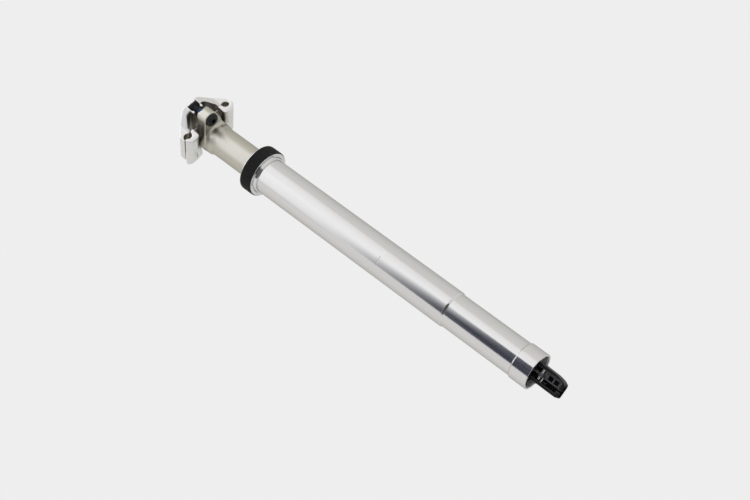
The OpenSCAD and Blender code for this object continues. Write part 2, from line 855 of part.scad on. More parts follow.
// A cup washer that takes the bolt's head inside its rim
module cup_washer(x, z) {
    translate([x, 0, z - washer_out]) difference() {
        translate([0, 0, 0.3]) cylinder(r = washer_r, h = washer_h - 0.3);
        translate([0, 0, -cut]) cylinder(d = bolt_head_d + 2 * head_gap, h = washer_h - washer_floor + cut);
        cylinder(r = bolt_r + head_gap, h = washer_h + cut);
    }
}

module cup_washers() {
    color("#141414") {
        cup_washer(front_bolt_x, ear_z);
        cup_washer(rear_bolt_x, rear_ear_z);
    }
}

// Saddle clamp

module lower_cradle() {
    belly_r = 18;
    belly_w = 5;
    belly_x = -7;
    belly_drop = 9.9;
    belly_half = 12;
    sole_w = 2 * cradle_half + 2;
    sole_t = 3.3;
    sole_angle = 48;
    jaw_half = lower_jaw_l / 2;
    color("#e2e2e4") clamp_frame() {
        intersection() {
            along_x(lower_jaw_l) both_sides() lower_jaw_section();
            across_y(far) polygon(rounded([
                [-jaw_half, -8.2, 6], [jaw_half, -8.2, 2.4], [jaw_half, 8, 0], [-jaw_half, 8, 0]
            ]));
        }
        for (side = [-1, 1])
            translate([belly_x, side * (cradle_half + belly_w / 2), 0]) intersection() {
                translate([0, 0, belly_r - belly_drop]) rotate([90, 0, 0])
                    cylinder(r = belly_r, h = belly_w, center = true);
                translate([-belly_half, -belly_w / 2, -belly_drop - cut])
                    cube([2 * belly_half, belly_w, belly_drop - 3]);
            }
        translate([0, 0, nut_z]) intersection() {
            rotate([90, 0, 0]) difference() {
                cylinder(r = sole_r, h = sole_w, center = true);
                cylinder(r = sole_r - sole_t, h = sole_w + cut, center = true);
            }
            across_y(sole_w) polygon([
                [0, 0],
                [-far * sin(sole_angle), -far * cos(sole_angle)],
                [far * sin(sole_angle), -far * cos(sole_angle)]
            ]);
        }
    }
}

// Plan of the upper clamp: jaws along the rails that widen towards the two nut seats
module upper_clamp_plan() {
    jaw = upper_jaw_l / 2;
    wide = rail_y + 8;
    root = rail_y - 3;
    polygon(rounded([
        [jaw, wide, 0], [jaw, root, 4], [clamp_reach, boss_half, 2.4], [clamp_reach, -boss_half, 2.4],
        [jaw, -root, 4], [jaw, -wide, 0], [-jaw, -wide, 0], [-jaw, -root, 4],
        [-clamp_reach, -boss_half, 2.4], [-clamp_reach, boss_half, 2.4], [-jaw, root, 4], [-jaw, wide, 0]
    ]));
}

module upper_clamp() {
    slot_end = 14.4;
    seat_w = nut_l + 2 * free_gap;
    color("#e2e2e4") clamp_frame() difference() {
        intersection() {
            union() {
                along_x(2 * clamp_reach) both_sides() upper_clamp_section();
                translate([-clamp_reach, -boss_half, boss_drop])
                    cube([2 * clamp_reach, 2 * boss_half, arch_h - boss_drop - 2]);
            }
            translate([0, 0, -far / 2]) linear_extrude(far) upper_clamp_plan();
        }
        for (side = [-1, 1]) {
            for (shift = [-nut_seat_shift, nut_seat_shift])
                translate([side * nut_x + shift, 0, nut_z]) rotate([90, 0, 0])
                    cylinder(r = nut_seat_r, h = seat_w, center = true);
            translate([side * nut_x - nut_seat_shift, -seat_w / 2, nut_z - nut_seat_r])
                cube([2 * nut_seat_shift, seat_w, nut_seat_r]);
            translate([side * nut_x - nut_seat_r - nut_seat_shift, -seat_w / 2, nut_z])
                cube([2 * (nut_seat_r + nut_seat_shift), seat_w, far]);
            translate([side * (slot_end + slot_w / 2), 0, 0]) cylinder(d = slot_w, h = far);
            translate([side > 0 ? slot_end + slot_w / 2 : -far, -slot_w / 2, 0])
                cube([far - slot_end - slot_w / 2, slot_w, far]);
        }
    }
}

// A barrel nut: a cross bar with a threaded sleeve that hangs down along the bolt
module barrel_nut(x, z) {
    translate([x, 0, z]) difference() {
        union() {
            rotate([90, 0, 0]) cylinder(r = nut_r, h = nut_l, center = true);
            translate([0, 0, -sleeve_drop]) cylinder(r = sleeve_r, h = sleeve_drop);
        }
        translate([0, 0, -far / 2]) cylinder(r = nut_bore_r, h = far);
    }
}

module front_barrel_nut() {
    color("#1a1a1c") barrel_nut(front_bolt_x, front_nut_z);
}

module rear_barrel_nut() {
    color("#1a1a1c") barrel_nut(rear_bolt_x, rear_nut_z);
}

outer_tube();
seal_collar();
collar_o_ring();
wiper_seal();
foam_ring();
upper_bushing();
base_plug();
base_circlip();
piston_rod();
rod_nut();
main_piston();
piston_seal();
piston_nut();
actuator_bracket();
lever_pivot_pin();
release_pin();
release_lever();
cable_barrel();
stanchion();
lower_bushing();
guide_keys();
cartridge_tube();
cartridge_seal_head();
rod_seal();
cartridge_end_cap();
cartridge_lock_ring();
floating_piston();
floating_piston_seal();
clamp_bolts();
cup_washers();
lower_cradle();
upper_clamp();
front_barrel_nut();
rear_barrel_nut();
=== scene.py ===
# %% [markdown]
# # A telescopic seatpost, dressed for its portrait
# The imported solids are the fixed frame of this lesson. Each visible piece of the post is either
# one of those solids with a better finish, or a new mesh that stands for it and moves with it.
# Everything is in metres, in the frame of the solids: Z runs up the post and X points forward.

# %% Load the frame
import json
import math

import bmesh
import bpy
from mathutils import Matrix, Vector


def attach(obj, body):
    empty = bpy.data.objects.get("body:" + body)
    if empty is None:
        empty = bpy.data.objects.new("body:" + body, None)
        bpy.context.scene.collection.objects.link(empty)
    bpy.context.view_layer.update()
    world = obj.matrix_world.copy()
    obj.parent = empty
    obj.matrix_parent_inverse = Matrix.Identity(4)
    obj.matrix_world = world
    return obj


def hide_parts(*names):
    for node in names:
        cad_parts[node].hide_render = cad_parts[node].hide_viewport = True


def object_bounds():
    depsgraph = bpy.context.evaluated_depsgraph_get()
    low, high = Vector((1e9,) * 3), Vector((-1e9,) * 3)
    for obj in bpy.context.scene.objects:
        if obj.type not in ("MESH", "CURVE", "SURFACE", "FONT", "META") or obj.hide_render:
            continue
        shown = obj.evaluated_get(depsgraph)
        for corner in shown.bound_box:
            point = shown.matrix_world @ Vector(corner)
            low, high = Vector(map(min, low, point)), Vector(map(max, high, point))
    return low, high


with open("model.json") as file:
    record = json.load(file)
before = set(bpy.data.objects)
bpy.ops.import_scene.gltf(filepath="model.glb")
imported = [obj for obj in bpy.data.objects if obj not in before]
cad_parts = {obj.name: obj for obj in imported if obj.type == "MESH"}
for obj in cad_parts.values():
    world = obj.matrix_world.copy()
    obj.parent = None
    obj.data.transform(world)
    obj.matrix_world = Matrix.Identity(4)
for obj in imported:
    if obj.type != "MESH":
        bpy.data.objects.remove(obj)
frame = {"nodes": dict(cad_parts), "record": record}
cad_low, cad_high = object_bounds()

MM = 0.001
nodes = frame["nodes"]

# %% [markdown]
# ## The camera
# The post was photographed from in front and a little below its axis, with the camera rolled so
# that the post runs across the picture. The camera's three axes are written down as measured and
# then squared up, because a rotation has to be made of exact right angles.

# %% Place the camera
sight = Vector((-0.8399, 0.3582, 0.4077)).normalized()
across = Vector((-0.0712, 0.6721, -0.7371))
across = (across - sight * across.dot(sight)).normalized()
upward = across.cross(sight).normalized()
camera = bpy.data.objects.new("camera", bpy.data.cameras.new("camera"))
camera.data.sensor_width = 36.0
camera.data.lens = 67.62
camera.data.clip_start = 0.01
camera.matrix_world = (
    Matrix.Translation((0.94592, -0.40115, -0.57563))
    @ Matrix((across, upward, -sight)).transposed().to_4x4()
)
bpy.context.scene.collection.objects.link(camera)
bpy.context.scene.camera = camera
bpy.context.scene.view_settings.view_transform = "Standard"
print("camera looks along", tuple(round(c, 3) for c in sight))

# %% [markdown]
# ## The studio
# Polished metal shows its surroundings more than itself, so the studio is built for reflections.
# Shader nodes are added by one helper, which takes a value or another node's output for each input.


# %% Add shader nodes
def add(tree, kind, inputs=None, **settings):
    """A new shader node. Each input takes a value, or a link where it is given a socket."""
    made = tree.nodes.new("ShaderNode" + kind)
    for name, value in settings.items():
        setattr(made, name, value)
    for name, value in (inputs or {}).items():
        if isinstance(value, bpy.types.NodeSocket):
            tree.links.new(value, made.inputs[name])
        else:
            made.inputs[name].default_value = value
    return made


def ramp(tree, share, *stops):
    """A colour that runs through the stops, each a position and a colour, as the share grows."""
    made = add(tree, "ValToRGB", {"Fac": share})
    ends = made.color_ramp.elements
    for end, (position, colour) in zip(ends, (stops[0], stops[-1])):
        end.position = position
        end.color = (*colour, 1)
    for position, colour in stops[1:-1]:
        ends.new(position).color = (*colour, 1)
    return made.outputs[0]


def either(tree, share, first, second):
    """A shader that turns from the first into the second as the share goes from 0 to 1."""
    return add(tree, "MixShader", {0: share, 1: first.outputs[0], 2: second.outputs[0]})


def stretch_between(tree, value, low, high, **settings):
    """A share that goes from 0 to 1 as the value goes from low to high."""
    inputs = {"Value": value, "From Min": low, "From Max": high}
    return add(tree, "MapRange", inputs, **settings).outputs[0]


# %% [markdown]
# The eye sees one pale grey all round. A mirror sees that grey in front of the post and a dimmer,
# slightly warmer wall behind it. A second reflection happens deep in a hollow, and there the
# surroundings are dark.

# %% Light the world
PALE = (0.855, 0.855, 0.855)
AMBIENT = (0.75, 0.75, 0.75)
WALL_BEHIND = (0.69, 0.69, 0.655)
WALL_BESIDE = (0.86, 0.83, 0.812)
BESIDE_AT = 0.62
IN_A_HOLLOW = (0.26, 0.25, 0.22)
FIRST_BOUNCE_TO = 2.5
FACING = math.radians(-23.0)
BRIGHT_SIDE = FACING - 0.35

world = bpy.data.worlds.new("studio")
bpy.context.scene.world = world
world.use_nodes = True
tree = world.node_tree
tree.nodes.clear()


def backdrop(colour):
    """A background shader of one colour, which may be a socket."""
    return add(tree, "Background", {"Color": colour})


def worked(operation, first, second):
    """The sum, product or comparison of two values, held between 0 and 1."""
    return add(tree, "Math", {0: first, 1: second}, operation=operation, use_clamp=True).outputs[0]


ahead = add(tree, "VectorMath", {
    0: add(tree, "TexCoord").outputs["Generated"],
    1: (math.cos(BRIGHT_SIDE), math.sin(BRIGHT_SIDE), 0),
}, operation="DOT_PRODUCT").outputs["Value"]
turned_ahead = stretch_between(tree, ahead, -1.0, 1.0)
wall = ramp(tree, turned_ahead, (0, WALL_BEHIND), (BESIDE_AT, WALL_BESIDE), (1, PALE))

rays = add(tree, "LightPath").outputs
seen_straight = worked("ADD", rays["Is Camera Ray"], rays["Is Transmission Ray"])
second_bounce = worked("GREATER_THAN", rays["Ray Depth"], FIRST_BOUNCE_TO)
deep_mirror = worked("MULTIPLY", second_bounce, rays["Is Glossy Ray"])
sky = either(tree, seen_straight, backdrop((*AMBIENT, 1)), backdrop((*PALE, 1)))
sky = either(tree, rays["Is Glossy Ray"], sky, backdrop(wall))
sky = either(tree, deep_mirror, sky, backdrop((*IN_A_HOLLOW, 1)))
add(tree, "OutputWorld", {"Surface": sky.outputs[0]})
print("world", PALE[0], "for the eye,", AMBIENT[0], "for soft light")

# %% [markdown]
# A broad softbox above the camera draws the bright band along the tube, and its narrow spread lets
# the band fade out at its edges. A smaller and bluer lamp above it whitens the faces that look up.

# %% Hang the lamps
MIDDLE = Vector((0, 0, -0.12))


def toward(azimuth, elevation, distance):
    """A point seen from the middle of the post in that direction."""
    return Vector((
        math.cos(azimuth) * math.cos(elevation),
        math.sin(azimuth) * math.cos(elevation),
        math.sin(elevation),
    )) * distance + MIDDLE


def softbox(name, place, width, height, radiance, colour, spread=180.0):
    """A rectangular lamp that faces the middle of the post. A small spread dims its rim."""
    lamp = bpy.data.lights.new(name, "AREA")
    lamp.shape = "RECTANGLE"
    lamp.size = width
    lamp.size_y = height
    lamp.energy = radiance * math.pi * width * height
    lamp.spread = math.radians(spread)
    lamp.color = colour
    holder = bpy.data.objects.new(name, lamp)
    holder.location = place
    holder.rotation_mode = "QUATERNION"
    holder.rotation_quaternion = (MIDDLE - place).to_track_quat("-Z", "Y")
    holder.visible_camera = False
    bpy.context.scene.collection.objects.link(holder)


LAMP_DISTANCE = 1.4
softbox(
    "softbox", toward(FACING, math.radians(31), LAMP_DISTANCE), width=3.1, height=1.25,
    radiance=0.165, colour=(0.95, 0.965, 1.0), spread=130.0,
)
softbox(
    "top_lamp", toward(FACING, math.radians(57), LAMP_DISTANCE), width=1.9, height=0.75,
    radiance=1.15, colour=(0.78, 0.83, 1.0),
)
print("softbox and top lamp above the camera")

# %% [markdown]
# A dark flag hangs beside the camera and draws the dark band along the tube. Its upper edge slopes
# and fades, and it gets lighter towards the floor. Like the cloth further down, it is seen only in
# reflections.


# %% Set up a sheet
def grid(width, height):
    """A bmesh of one level rectangle round the origin."""
    shape = bmesh.new()
    bmesh.ops.create_grid(shape, x_segments=1, y_segments=1, size=0.5)
    bmesh.ops.scale(shape, verts=shape.verts, vec=(width, height, 1))
    return shape


def staged(name, shape, material):
    """A thing of the studio, which isn't part of the post."""
    mesh = bpy.data.meshes.new(name)
    shape.to_mesh(mesh)
    shape.free()
    mesh.materials.append(material)
    made = bpy.data.objects.new(name, mesh)
    bpy.context.scene.collection.objects.link(made)
    return made


def only_mirrored(made):
    """Hides a thing of the studio from all but reflections."""
    for ray in ("camera", "diffuse", "shadow", "transmission"):
        setattr(made, "visible_" + ray, False)


def bare_material(name):
    """A material with no nodes yet, and its node tree."""
    made = bpy.data.materials.new(name)
    made.use_nodes = True
    made.node_tree.nodes.clear()
    return made, made.node_tree


# %% Hang the dark flag
FLAG_WIDE, FLAG_HIGH = 1.02, 1.7
FLAG_SLOPE = 0.195
FLAG_DISTANCE = 0.9
FLAG_LOWERED = 0.35
FLAG_FADES = (0.07, 0.36)
FLAG_LIGHTENS = (-0.32, -0.03)
FELT_LOW, FELT_MIDDLE, FELT_HIGH = (0.34, 0.335, 0.32), (0.15, 0.15, 0.15), (0.050, 0.053, 0.078)
flag_azimuth = FACING - math.radians(23.5)
flag_middle = Vector((math.cos(flag_azimuth), math.sin(flag_azimuth), 0)) * FLAG_DISTANCE
upright = Matrix.Rotation(flag_azimuth + math.pi / 2, 3, "Z") @ Matrix.Rotation(math.pi / 2, 3, "X")
shape = grid(FLAG_WIDE, FLAG_HIGH)
bmesh.ops.rotate(shape, verts=shape.verts, matrix=upright)
bmesh.ops.translate(shape, verts=shape.verts, vec=flag_middle - Vector((0, 0, FLAG_LOWERED)))

felt, tree = bare_material("navy_felt")
place = add(tree, "TexCoord").outputs["Object"]
height = add(tree, "VectorMath", {
    0: place,
    1: (-math.sin(flag_azimuth) * FLAG_SLOPE, math.cos(flag_azimuth) * FLAG_SLOPE, 1),
}, operation="DOT_PRODUCT").outputs["Value"]
fade = stretch_between(tree, height, *FLAG_FADES, interpolation_type="SMOOTHSTEP")
depth = stretch_between(tree, add(tree, "SeparateXYZ", {0: place}).outputs["Z"], *FLAG_LIGHTENS)
felt_tone = ramp(tree, depth, (0, FELT_LOW), (0.5, FELT_MIDDLE), (1, FELT_HIGH))
dark = add(tree, "Emission", {"Color": felt_tone})
hung = either(tree, fade, dark, add(tree, "BsdfTransparent"))
add(tree, "OutputMaterial", {"Surface": hung.outputs[0]})
only_mirrored(staged("dark_flag", shape, felt))
print("flag at azimuth", round(math.degrees(flag_azimuth)))

# %% [markdown]
# The floor is pale card. The camera is below it, so it is seen only from above, and it thins out
# far from the post so that no horizon shows in other views.

# %% Lay the floor
FLOOR_SIDE = 6.0
FLOOR_GAP = 0.0002
FLOOR_THINS = (0.5, 2.4)
CARD = (0.92, 0.91, 0.88)


def distance(tree):
    """The distance from the frame's origin."""
    place = add(tree, "TexCoord").outputs["Object"]
    return add(tree, "VectorMath", {0: place}, operation="LENGTH").outputs["Value"]


shape = grid(FLOOR_SIDE, FLOOR_SIDE)
bmesh.ops.translate(shape, verts=shape.verts, vec=(0, 0, cad_low.z - FLOOR_GAP))
card, tree = bare_material("pale_card")
paper = add(tree, "BsdfDiffuse", {"Color": (*CARD, 1)})
open_air = add(tree, "BsdfTransparent")
one_sided = either(tree, add(tree, "NewGeometry").outputs["Backfacing"], paper, open_air)
thin = stretch_between(tree, distance(tree), *FLOOR_THINS, interpolation_type="SMOOTHSTEP")
laid = either(tree, thin, one_sided, open_air)
add(tree, "OutputMaterial", {"Surface": laid.outputs[0]})
staged("floor", shape, card)
print("floor at", round(cad_low.z, 4))

# %% [markdown]
# A wedge of grey cloth lies on the floor below the flag. Only faces that look down mirror it: it
# draws the short dark lines on the step in the tube and under the flange.

# %% Lay the grey cloth
CLOTH_LONG, CLOTH_WIDE = 1.0, 0.95
CLOTH_NARROWED = 0.15
CLOTH_OUT, CLOTH_LIFT = 0.54, 0.001
CLOTH_PALES = (0.36, 0.6)
CLOTH_NEAR, CLOTH_FAR = (0.065, 0.065, 0.07), (0.30, 0.295, 0.28)
shape = grid(CLOTH_LONG, CLOTH_WIDE)
near_end = [v for v in shape.verts if v.co.x < 0]
bmesh.ops.scale(shape, verts=near_end, vec=(1, CLOTH_NARROWED, 1))
bmesh.ops.translate(shape, verts=shape.verts, vec=(CLOTH_OUT, 0, cad_low.z + CLOTH_LIFT))
bmesh.ops.rotate(shape, verts=shape.verts, matrix=Matrix.Rotation(flag_azimuth, 3, "Z"))
grey, tree = bare_material("grey_cloth")
away = stretch_between(tree, distance(tree), *CLOTH_PALES)
cloth_tone = ramp(tree, away, (0, CLOTH_NEAR), (1, CLOTH_FAR))
glow = add(tree, "Emission", {"Color": cloth_tone})
add(tree, "OutputMaterial", {"Surface": glow.outputs[0]})
only_mirrored(staged("grey_cloth", shape, grey))
print("grey cloth in front of the post")

# %% [markdown]
# ## The finishes
# Every finish is one procedural material on Object coordinates. A fine noise varies the colour and
# the roughness a little and gives a shallow bump, because no real surface is one flat value. Each
# noise can be stretched along an axis, which turns spots into drawn or turned lines. Black and grey
# pieces are rubbed bright at their edges, with a painted highlight along them too, and the forged
# clamp gets painted shade in its hollows, where its colour darkens towards olive.

# %% Mix a finish
NOISE_LOW, NOISE_HIGH = 0.3, 0.7
EDGE_LOW, EDGE_HIGH = 0.512, 0.56
SHELTER_REACH = 0.013
SHELTER_LOW, SHELTER_HIGH = 0.3, 0.9


def blended(tree, share, first, second):
    """A colour that turns from the first into the second as the share goes from 0 to 1."""
    inputs = {"Factor": share, "A": first, "B": second}
    return add(tree, "Mix", inputs, data_type="RGBA").outputs["Result"]


def finish(name, colour, metallic, roughness, spread=0.03, grain=900.0, stretch=(1, 1, 1),
           bump=0.1, depth=0.00005, tint=0.08, specular=0.5, rim=1.0, wear_and_sheen=None, hollow_shade=None):
    """A material whose colour and roughness wander with a fine noise.
    Wear and sheen colours rubbed edges and paints a highlight on them; hollow shade paints shade
    into deep corners, if there is one."""
    made = bpy.data.materials.new(name)
    made.use_nodes = True
    made.diffuse_color = (*colour, 1)
    tree = made.node_tree
    place = add(tree, "TexCoord").outputs["Object"]
    scaled = add(tree, "Mapping", {"Vector": place, "Scale": stretch}).outputs[0]
    noise = add(tree, "TexNoise", {"Vector": scaled, "Scale": grain, "Detail": 4.0}).outputs["Fac"]
    base = ramp(
        tree, noise,
        (NOISE_LOW, [c * (1 - tint) for c in colour]),
        (NOISE_HIGH, [min(1.0, c * (1 + tint)) for c in colour]),
    )
    # Sharp edges lighten: rubbed wear plus a painted edge highlight.
    if wear_and_sheen:
        edge = add(tree, "NewGeometry").outputs["Pointiness"]
        rubbed_and_sheen = stretch_between(tree, edge, EDGE_LOW, EDGE_HIGH)
        base = blended(tree, rubbed_and_sheen, base, (*wear_and_sheen, 1))
    # Deep corners darken by ambient occlusion: this is painted shade.
    elif hollow_shade:
        open_to = add(tree, "AmbientOcclusion", {"Distance": SHELTER_REACH}).outputs["AO"]
        exposed = stretch_between(tree, open_to, SHELTER_LOW, SHELTER_HIGH)
        base = blended(tree, exposed, (*hollow_shade, 1), base)
    gloss = add(tree, "MapRange", {
        "Value": noise, "From Min": NOISE_LOW, "From Max": NOISE_HIGH,
        "To Min": roughness - spread, "To Max": roughness + spread,
    })
    relief = add(tree, "Bump", {"Strength": bump, "Distance": depth, "Height": noise})
    shader = tree.nodes["Principled BSDF"]
    shader.inputs["Metallic"].default_value = metallic
    shader.inputs["Specular IOR Level"].default_value = specular
    shader.inputs["Specular Tint"].default_value = (rim, rim, rim, 1)
    tree.links.new(base, shader.inputs["Base Color"])
    tree.links.new(gloss.outputs[0], shader.inputs["Roughness"])
    tree.links.new(relief.outputs[0], shader.inputs["Normal"])
    return made


# %% Mix the bright metals
finishes = {}


def mix(recipes):
    """Makes a finish by each recipe and keeps it under the recipe's name."""
    for name, recipe in recipes.items():
        finishes[name] = finish(name, **recipe)
    print("finishes", ", ".join(recipes))


mix({
    "polished_aluminium": dict(
        colour=(0.70, 0.70, 0.70), metallic=1.0, roughness=0.14, grain=500.0,
        stretch=(1, 1, 0.02), bump=0.05, depth=0.00002, tint=0.02, rim=0.7,
    ),
    # The clamp's hollows get painted shade, a darker olive grey.
    "forged_silver": dict(
        colour=(0.76, 0.76, 0.755), metallic=1.0, roughness=0.30, spread=0.05, grain=1400.0,
        tint=0.04, hollow_shade=(0.40, 0.385, 0.335),
    ),
    "champagne_anodised": dict(
        colour=(0.54, 0.524, 0.457), metallic=1.0, roughness=0.38, grain=3000.0, tint=0.03, rim=0.7,
    ),
    "bright_steel": dict(
        colour=(0.56, 0.56, 0.57), metallic=1.0, roughness=0.22, spread=0.05, grain=800.0,
        stretch=(1, 1, 0.05), tint=0.04,
    ),
    "brass": dict(
        colour=(0.70, 0.50, 0.20), metallic=1.0, roughness=0.28, spread=0.05, grain=900.0,
        stretch=(1, 1, 0.1),
    ),
    "inner_aluminium": dict(
        colour=(0.45, 0.45, 0.46), metallic=1.0, roughness=0.3, spread=0.05, grain=700.0,
        stretch=(1, 1, 0.05), tint=0.05,
    ),
})

# %% Mix the dark finishes
# Their edges lighten with rubbed wear and a painted highlight.
mix({
    "black_anodised": dict(
        colour=(0.008, 0.008, 0.008), metallic=0.0, roughness=0.5, spread=0.06, grain=2200.0,
        specular=0.2, wear_and_sheen=(0.16, 0.16, 0.165),
    ),
    "black_knurl": dict(
        colour=(0.006, 0.006, 0.006), metallic=0.0, roughness=0.52, spread=0.06, grain=2200.0,
        specular=0.16, wear_and_sheen=(0.022, 0.022, 0.022),
    ),
    "grey_anodised": dict(
        colour=(0.078, 0.078, 0.086), metallic=0.3, roughness=0.42, spread=0.05, grain=2200.0,
        wear_and_sheen=(0.24, 0.24, 0.25),
    ),
    "black_steel": dict(
        colour=(0.006, 0.006, 0.007), metallic=0.0, roughness=0.33, spread=0.06, grain=2600.0,
        specular=0.14, wear_and_sheen=(0.05, 0.05, 0.055),
    ),
})

# %% Mix rubber, foam and bushing
mix({
    "rubber": dict(
        colour=(0.015, 0.015, 0.015), metallic=0.0, roughness=0.62, spread=0.08, grain=1800.0,
        tint=0.2,
    ),
    "foam": dict(
        colour=(0.16, 0.13, 0.10), metallic=0.0, roughness=0.85, spread=0.08, grain=1500.0,
        bump=0.4, depth=0.0002, tint=0.35,
    ),
    "bushing": dict(
        colour=(0.26, 0.20, 0.07), metallic=0.0, roughness=0.5, spread=0.06, grain=1600.0, tint=0.1,
    ),
})

# %% Put the finishes on the solids
slot_of = {row["node"]: row["material_slot"] for row in frame["record"]["subparts"]}
for name, solid in nodes.items():
    solid.data.materials.clear()
    solid.data.materials.append(finishes[slot_of[name]])
print("dressed", len(slot_of), "solids")

# %% [markdown]
# ## Turning and softening
# Two helpers make most pieces. A turned piece starts as a few corners of its section: each corner
# is rounded with a vertex bevel and the section is spun round the post's axis, as on a lathe. A
# softened piece starts as a copy of its solid, which is remeshed in small cubes and smoothed, so
# that every edge gets the rounding that forging and tumbling leave.


# %% Make a piece
def piece(name, mesh, slot, body, *stands_for):
    """A finished mesh becomes a piece that rides on a body and stands for some of its solids."""
    made = bpy.data.objects.new(name, mesh)
    bpy.context.scene.collection.objects.link(made)
    mesh.materials.clear()
    mesh.materials.append(finishes[slot])
    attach(made, body)
    if stands_for:
        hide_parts(*stands_for)
    print(name, len(mesh.polygons), "faces")
    return made


def even_normals(made):
    """Keeps the light even on long walls, where a narrow rounding would bend the shading."""
    even = made.modifiers.new("even_normals", "WEIGHTED_NORMAL")
    even.mode = "FACE_AREA"
    even.weight = 90
    even.keep_sharp = True


def settle(shape, name, sharp=35.0):
    """Writes a bmesh to a mesh with smooth faces and sharp edges kept sharp."""
    mesh = bpy.data.meshes.new(name)
    shape.to_mesh(mesh)
    shape.free()
    mesh.shade_smooth()
    mesh.set_sharp_from_angle(angle=math.radians(sharp))
    return mesh


# %% Turn a section
def section(corners, closed=True):
    """A bmesh with a section's outline in the XZ plane. Corners are (radius, z, rounding) in mm."""
    shape = bmesh.new()
    points = [shape.verts.new((r * MM, 0, z * MM)) for r, z, _ in corners]
    for a, b in zip(points, points[1:] + points[:1] if closed else points[1:]):
        shape.edges.new((a, b))
    by_size = {}
    for point, (_, _, rounding) in zip(points, corners):
        if rounding:
            by_size.setdefault(rounding, []).append(point)
    for rounding, group in by_size.items():
        bmesh.ops.bevel(
            shape, geom=group, offset=rounding * MM, offset_type="OFFSET", affect="VERTICES",
            segments=4, profile=0.5, material=-1,
        )
    return shape


def turned(corners, steps=160, closed=True):
    """A bmesh of the section spun round the post's axis."""
    shape = section(corners, closed)
    bmesh.ops.spin(
        shape, geom=shape.verts[:] + shape.edges[:], cent=(0, 0, 0), axis=(0, 0, 1),
        angle=math.tau, steps=steps, use_merge=True,
    )
    bmesh.ops.remove_doubles(shape, verts=shape.verts, dist=1e-6)
    bmesh.ops.recalc_face_normals(shape, faces=shape.faces)
    return shape


# %% Soften a solid
def softened(node, cube, passes, below=None, tilt=0.0):
    """A smooth copy of a solid's mesh, remeshed in cubes of that size in mm.
    Below a height it is cut off. A tilted solid is laid level first, because flat faces come out
    cleanest along the cubes."""
    level = Matrix.Rotation(-tilt, 3, "Y")
    shape = bmesh.new()
    shape.from_mesh(nodes[node].data)
    bmesh.ops.remove_doubles(shape, verts=shape.verts, dist=1e-6)
    bmesh.ops.rotate(shape, verts=shape.verts, matrix=level)
    if below is not None:
        cut = bmesh.ops.bisect_plane(
            shape, geom=shape.verts[:] + shape.edges[:] + shape.faces[:],
            plane_co=(0, 0, below * MM), plane_no=(0, 0, 1), clear_inner=True,
        )
        rim = [e for e in cut["geom_cut"] if isinstance(e, bmesh.types.BMEdge)]
        bmesh.ops.holes_fill(shape, edges=rim, sides=0)
    rough = bpy.data.meshes.new(node + "_rough")
    shape.to_mesh(rough)
    shape.free()
    holder = bpy.data.objects.new(node + "_rough", rough)
    bpy.context.scene.collection.objects.link(holder)
    cubes = holder.modifiers.new("cubes", "REMESH")
    cubes.mode = "VOXEL"
    cubes.voxel_size = cube * MM
    ease = holder.modifiers.new("ease", "SMOOTH")
    ease.factor = 0.5
    ease.iterations = passes
    ready = holder.evaluated_get(bpy.context.evaluated_depsgraph_get())
    mesh = bpy.data.meshes.new_from_object(ready)
    bpy.data.objects.remove(holder)
    bpy.data.meshes.remove(rough)
    mesh.transform(level.inverted().to_4x4())
    mesh.name = node + "_soft"
    mesh.shade_smooth()
    return mesh


# %% [markdown]
# ## The outer tube
# The real tube is drawn aluminium, turned down a little above its foot, with a flange and a neck at
# the top. A lathe section gives all of it in one spin: the roundings are a few tenths of a
# millimetre, but they catch the light as the thin bright lines that the picture shows. The bore is
# left blasted and matt at the foot, so its wall gets a finish of its own.

# %% Turn the outer tube
tube = turned([
    (14.3, -284, 0.15), (15.8, -284, 0.35), (15.8, -268.4, 0.25), (14.95, -267.8, 0.25),
    (14.95, -200.9, 0.4), (15.8, -199.5, 0.4), (15.8, -131.3, 0.06), (15.76, -131.05, 0.05),
    (15.8, -130.8, 0.06), (15.8, 0, 0.2), (16.75, 0, 0.25), (17.5, 2.2, 0.12), (20.18, 2.3, 0.2),
    (20.3, 3.3, 0.15), (18.6, 3.3, 0), (18.6, 11.5, 0.2), (16.4, 11.5, 0.2), (16.4, 2.2, 0),
    (13.6, 2.2, 0.2), (13.6, -267, 0), (14.3, -267, 0),
])
shell = piece(
    "tube_shell", settle(tube, "tube_shell"), "polished_aluminium", "lower_post", "outer_tube"
)
even_normals(shell)

# %% Blast the bore at its foot
BORE_WITHIN = 14.5
BORE_BELOW = -200
mix({
    "blasted_bore": dict(
        colour=(0.88, 0.88, 0.87), metallic=0.0, roughness=0.6, spread=0.08, grain=1800.0,
        tint=0.12,
    ),
})
shell.data.materials.append(finishes["blasted_bore"])
for face in shell.data.polygons:
    x, y, z = face.center / MM
    if math.hypot(x, y) < BORE_WITHIN and z < BORE_BELOW:
        face.material_index = 1
print("blasted faces", sum(face.material_index for face in shell.data.polygons))

# %% [markdown]
# ## The collar
# The black collar is knurled so that it can be screwed on by hand. One small diamond is spun round
# the collar, the ring of diamonds is repeated in rows that are half a step apart, and every diamond
# is poked into a low pyramid. The rims are turned: a skirt reaches down over the flange's edge, and
# a thin ring of bare metal closes the top.

# %% Knurl the collar
KNURL_ROUND = 84
KNURL_ROWS = 12
KNURL_LOW, KNURL_HIGH = 3.7, 13.9
KNURL_R = 20.85
KNURL_DEPTH = 0.3


